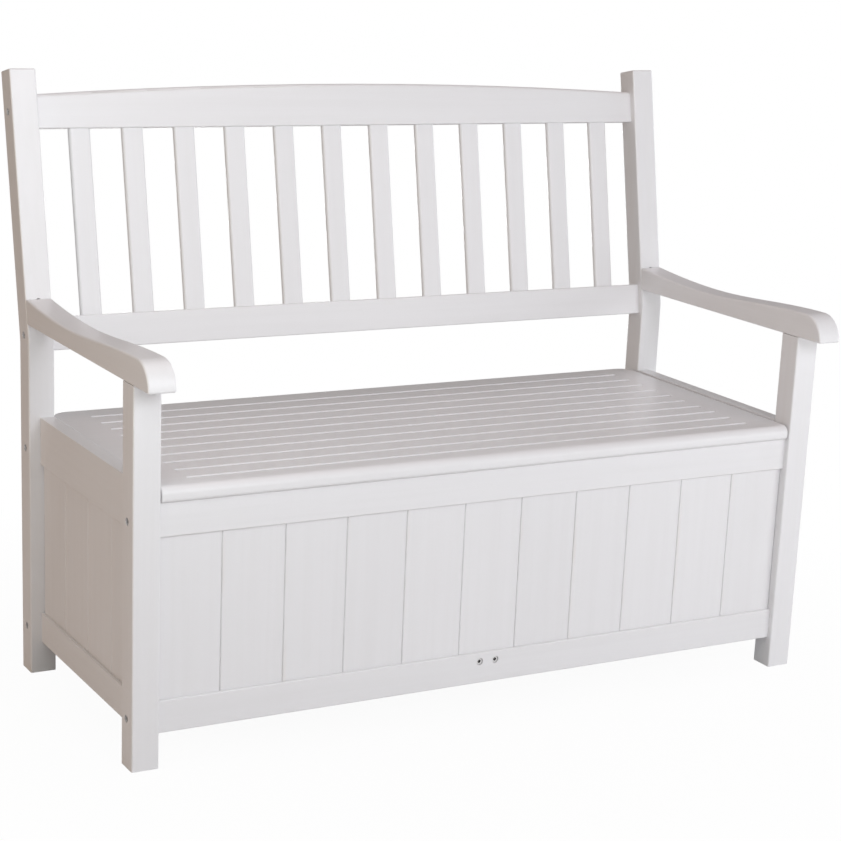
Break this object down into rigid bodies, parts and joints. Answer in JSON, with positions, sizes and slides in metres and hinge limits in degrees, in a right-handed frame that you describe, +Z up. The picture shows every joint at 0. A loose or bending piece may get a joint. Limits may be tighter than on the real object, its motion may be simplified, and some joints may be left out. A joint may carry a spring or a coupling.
{
  "type": "storage bench",
  "caption": "White painted wooden storage bench with a raked slatted back rest, curved armrests and a hinged, grooved seat lid over a boarded box.",
  "frame": {"origin": "on the floor, under the middle of the bench's overall box", "axes": "+X along the bench to a viewer's right, +Y from its front to its back, +Z up"},
  "size_m": [1.14, 0.5911, 0.9126],
  "materials": {
    "white_painted_wood": "white satin paint over softwood",
    "bare_beech": "bare turned beech",
    "zinc_steel": "bright zinc plate",
    "black_steel": "blackened",
    "enamelled_steel": "white enamel over steel",
    "hinge_steel": "zinc plated strip"
  },
  "bodies": {
    "frame": {"armrest_left": "white_painted_wood", "armrest_right": "white_painted_wood", "back_lower_rail": "white_painted_wood", "back_slat_01": "white_painted_wood", "back_slat_02": "white_painted_wood", "back_slat_03": "white_painted_wood", "back_slat_04": "white_painted_wood", "back_slat_05": "white_painted_wood", "back_slat_06": "white_painted_wood", "back_slat_07": "white_painted_wood", "back_slat_08": "white_painted_wood", "back_slat_09": "white_painted_wood", "back_slat_10": "white_painted_wood", "back_slat_11": "white_painted_wood", "back_slat_12": "white_painted_wood", "back_top_rail": "white_painted_wood", "barrel_nuts": "zinc_steel", "bearer_screws": "enamelled_steel", "dowels": "bare_beech", "floor_bearer": "white_painted_wood", "floor_boards": "white_painted_wood", "floor_cleat_left": "white_painted_wood", "floor_cleat_right": "white_painted_wood", "floor_screws": "zinc_steel", "front_board_01": "white_painted_wood", "front_board_02": "white_painted_wood", "front_board_03": "white_painted_wood", "front_board_04": "white_painted_wood", "front_board_05": "white_painted_wood", "front_board_06": "white_painted_wood", "front_board_07": "white_painted_wood", "front_board_08": "white_painted_wood", "front_board_09": "white_painted_wood", "front_board_10": "white_painted_wood", "front_board_11": "white_painted_wood", "front_bottom_rail": "white_painted_wood", "front_leg_left": "white_painted_wood", "front_leg_right": "white_painted_wood", "front_top_rail": "white_painted_wood", "hinge_frame_leaves": "hinge_steel", "hinge_frame_screws": "zinc_steel", "hinge_pins": "hinge_steel", "leg_bolts": "black_steel", "rear_boards": "white_painted_wood", "rear_bottom_rail": "white_painted_wood", "rear_leg_left": "white_painted_wood", "rear_leg_right": "white_painted_wood", "rear_top_rail": "white_painted_wood", "side_boards_left": "white_painted_wood", "side_boards_right": "white_painted_wood", "side_bottom_rail_left": "white_painted_wood", "side_bottom_rail_right": "white_painted_wood", "side_top_rail_left": "white_painted_wood", "side_top_rail_right": "white_painted_wood"},
    "lid": {"batten_screws": "zinc_steel", "hinge_lid_leaves": "hinge_steel", "hinge_lid_screws": "zinc_steel", "lid_batten_left": "white_painted_wood", "lid_batten_right": "white_painted_wood", "lid_panel": "white_painted_wood"}
  },
  "joints": [
    {"name": "lid_hinge", "type": "hinge", "parent": "frame", "child": "lid", "pos_m": [0, 0.21507, 0.3771], "axis": [-1, 0, 0], "range_deg": [0, 66]}
  ]
}
